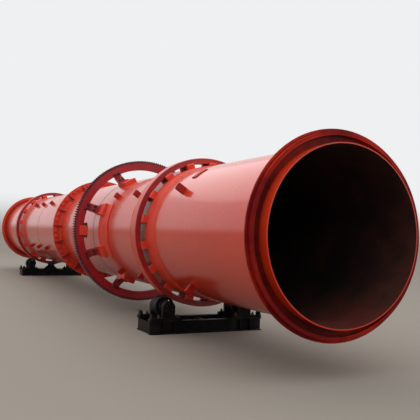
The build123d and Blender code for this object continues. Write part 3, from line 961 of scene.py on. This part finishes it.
class DRYER_OT_gear_nuts(bpy.types.Operator):
    """Put nuts on the bolts that join the gear's halves"""
    bl_idname = "dryer.gear_nuts"
    bl_label = "Add Gear Nuts"

    def execute(self, context):
        size = context.scene.dryer_fittings.gear_nut
        r = gear_bore_r - gear_bolt_inset
        places = []
        for joint in joint_sides():
            for y in (joint_bolts_low[1] + gear_bolt_r, joint_bolts_high[1] - gear_bolt_r):
                places.append(at_angle(joint, r, y, "right", gear_ear_half))
                places.append(at_angle(joint, r, y, "left", -gear_ear_half))
        nuts = repeated(hex_bolt(size), places)
        finished("gear_joint_nuts", nuts, find_material("bolt steel"), "drum")
        return {"FINISHED"}


class DRYER_OT_bearing_bolts(bpy.types.Operator):
    """Bolt the bearings down, and add their covers' screws and grease nipples"""
    bl_idname = "dryer.bearing_bolts"
    bl_label = "Add Bearing Bolts"

    def execute(self, context):
        fittings = context.scene.dryer_fittings
        foot_z = beam_top + housing_foot_plate
        half = (housing_high[1] - housing_low[1]) / 2 - beam_offset
        nuts, screws, nipples = [], [], []
        for x, y, side in bearings():
            facing = "near" if side < 0 else "far"
            outer = y + side * half
            for across in (-1, 1):
                nuts.append(at_point(x + across * (housing_half + housing_foot_half) / 2, y, foot_z))
            for k in range(6):
                turn = pi / 6 + pi / 3 * k
                offset = (screw_circle_r * cos(turn), screw_circle_r * sin(turn), 0)
                screws.append(at_point(x, outer, roller_z, facing) @ Matrix.Translation(offset))
            nipples.append(at_point(x, y, roller_z + housing_half - housing_sunk))
        steel = find_material("bolt steel")
        nut = hex_bolt(fittings.foot_nut, stud=0.016)
        finished("bearing_nuts", repeated(nut, nuts), steel, "root")
        screw = hex_bolt(fittings.cover_screw, washer=False)
        finished("cover_screws", repeated(screw, screws), steel, "root")
        r = fittings.nipple / 2
        nipple = joined(round_bar(r, r, 0.001, 6), round_bar(0.55 * r, 2.2 * r, 0.3 * r, 12))
        plated = make_plated_material(context.scene.dryer_paint)
        finished("grease_nipples", repeated(nipple, nipples), plated, "root")
        return {"FINISHED"}


class DRYER_OT_setting_screws(bpy.types.Operator):
    """Add the screws that set the bearings sideways"""
    bl_idname = "dryer.setting_screws"
    bl_label = "Add Setting Screws"

    def execute(self, context):
        fittings = context.scene.dryer_fittings
        size = fittings.set_screw
        start = roller_x + housing_foot_half
        z = beam_top + housing_foot_plate / 2
        length = station_half + fittings.screw_reach - start
        rods, nuts = [], []
        for x, y, _ in bearings():
            side = 1 if x > 0 else -1
            facing = "right" if x > 0 else "left"
            rods.append(at_point(side * start, y, z, facing))
            nuts.append(at_point(side * screw_stand, y, z, facing))
        steel = find_material("bolt steel")
        rod = round_bar(size / 2, length, 0.002)
        finished("setting_screws", repeated(rod, rods), steel, "root")
        lock = hex_bolt(1.5 * size, washer=False)
        finished("setting_screw_nuts", repeated(lock, nuts), steel, "root")
        return {"FINISHED"}


class DRYER_OT_stage(bpy.types.Operator):
    """Set the floor, backdrop, lights and camera"""
    bl_idname = "dryer.stage"
    bl_label = "Set Stage"

    def execute(self, context):
        stage = context.scene.dryer_stage
        bm = bmesh.new()
        bmesh.ops.create_grid(bm, x_segments=1, y_segments=1, size=stage.floor_size)
        mesh = bpy.data.meshes.new("floor")
        bm.to_mesh(mesh)
        bm.free()
        floor = bpy.data.objects.new("floor", mesh)
        context.scene.collection.objects.link(floor)
        floor.data.materials.append(make_floor_material(stage))
        make_world(context.scene, stage)
        add_key_light(context.scene, stage)
        add_camera(context.scene, stage)
        context.scene.view_settings.view_transform = "Standard"
        return {"FINISHED"}


def seen_directly(tree):
    """1 for camera, glossy and transmission rays, which show the stage, 0 for the light it throws."""
    path = tree.nodes.new("ShaderNodeLightPath").outputs
    seen = maths(tree, "MAXIMUM", path["Is Camera Ray"], path["Is Glossy Ray"])
    return maths(tree, "MAXIMUM", seen, path["Is Transmission Ray"])


def make_floor_material(stage):
    """A plain floor with a faint grain, and its own colour for the light that it throws back."""
    material, tree, shader, place = new_material("floor")
    grain = noise(tree, place, 3.0, 6.0, 0.6)
    pale = mixed(tree, scaled(tree, grain, 0.15), stage.floor, stage.floor_grain)
    colour = mixed(tree, seen_directly(tree), stage.floor_bounce, pale)
    fill(tree, shader.inputs, {"Base Color": colour, "Roughness": 0.9, "Specular IOR Level": 0.1})
    return material


def make_world(scene, stage):
    """A pale backdrop for what sees it directly, and an even sky for the light it gives."""
    world = bpy.data.worlds.new("backdrop")
    world.use_nodes = True
    tree = world.node_tree
    ground = tree.nodes["Background"]
    seen = seen_directly(tree)
    direction = tree.nodes.new("ShaderNodeTexCoord").outputs["Generated"]
    height = node(tree, "ShaderNodeSeparateXYZ", {"Vector": direction}).outputs["Z"]
    sweep = mixed(tree, stepped(tree, height, -0.02, 0.06), stage.horizon, stage.backdrop)
    colour = mixed(tree, seen, stage.sky_colour, sweep)
    tree.links.new(colour, ground.inputs["Color"])
    tree.links.new(between(tree, seen, stage.sky, 1.0), ground.inputs["Strength"])
    scene.world = world


def add_key_light(scene, stage):
    """A softbox longer than the drum, hanging over it."""
    lamp = bpy.data.lights.new("overhead softbox", "AREA")
    lamp.shape = "RECTANGLE"
    lamp.size, lamp.size_y = softbox_sides
    lamp.energy = stage.key
    light = bpy.data.objects.new("overhead softbox", lamp)
    light.location = softbox_place
    scene.collection.objects.link(light)


def add_camera(scene, stage):
    """The camera, its picture shifted by one pixel."""
    right = Vector(camera_right).normalized()
    forward = Vector(camera_forward).normalized()
    up = right.cross(forward).normalized()
    lens = bpy.data.cameras.new("camera")
    lens.lens = stage.lens
    lens.sensor_width = 36.0
    lens.shift_y = -1 / picture_pixels
    lens.clip_end = 500.0
    camera = bpy.data.objects.new("camera", lens)
    turn = Matrix((right, up, -forward)).transposed().to_4x4()
    camera.matrix_world = Matrix.Translation(stage.camera) @ turn
    scene.collection.objects.link(camera)
    scene.camera = camera


class DRYER_PT_panel(bpy.types.Panel):
    """Lists the steps that dress the dryer"""
    bl_idname = "DRYER_PT_panel"
    bl_label = "Drum Dryer"
    bl_space_type = "VIEW_3D"
    bl_region_type = "UI"
    bl_category = "Drum Dryer"

    def draw(self, context):
        column = self.layout.column(align=True)
        for step in steps:
            column.operator(step.bl_idname)


groups = {"dryer_paint": DryerPaint, "dryer_fittings": DryerFittings, "dryer_stage": DryerStage}
steps = (
    DRYER_OT_effects,
    DRYER_OT_paint_drum,
    DRYER_OT_paint_gear,
    DRYER_OT_paint_stations,
    DRYER_OT_shell_seams,
    DRYER_OT_patch_plate,
    DRYER_OT_shell_lugs,
    DRYER_OT_plate_welds,
    DRYER_OT_mid_bolts,
    DRYER_OT_spring_clamps,
    DRYER_OT_gear_nuts,
    DRYER_OT_bearing_bolts,
    DRYER_OT_setting_screws,
    DRYER_OT_stage,
)


def register():
    for kind in (*groups.values(), *steps, DRYER_PT_panel):
        bpy.utils.register_class(kind)
    for name, kind in groups.items():
        setattr(bpy.types.Scene, name, bpy.props.PointerProperty(type=kind))


def unregister():
    for name in groups:
        delattr(bpy.types.Scene, name)
    for kind in reversed((*groups.values(), *steps, DRYER_PT_panel)):
        bpy.utils.unregister_class(kind)


def main():
    register()
    for step in steps:
        space, name = step.bl_idname.split(".")
        getattr(getattr(bpy.ops, space), name)()


if __name__ == "__main__":
    main()
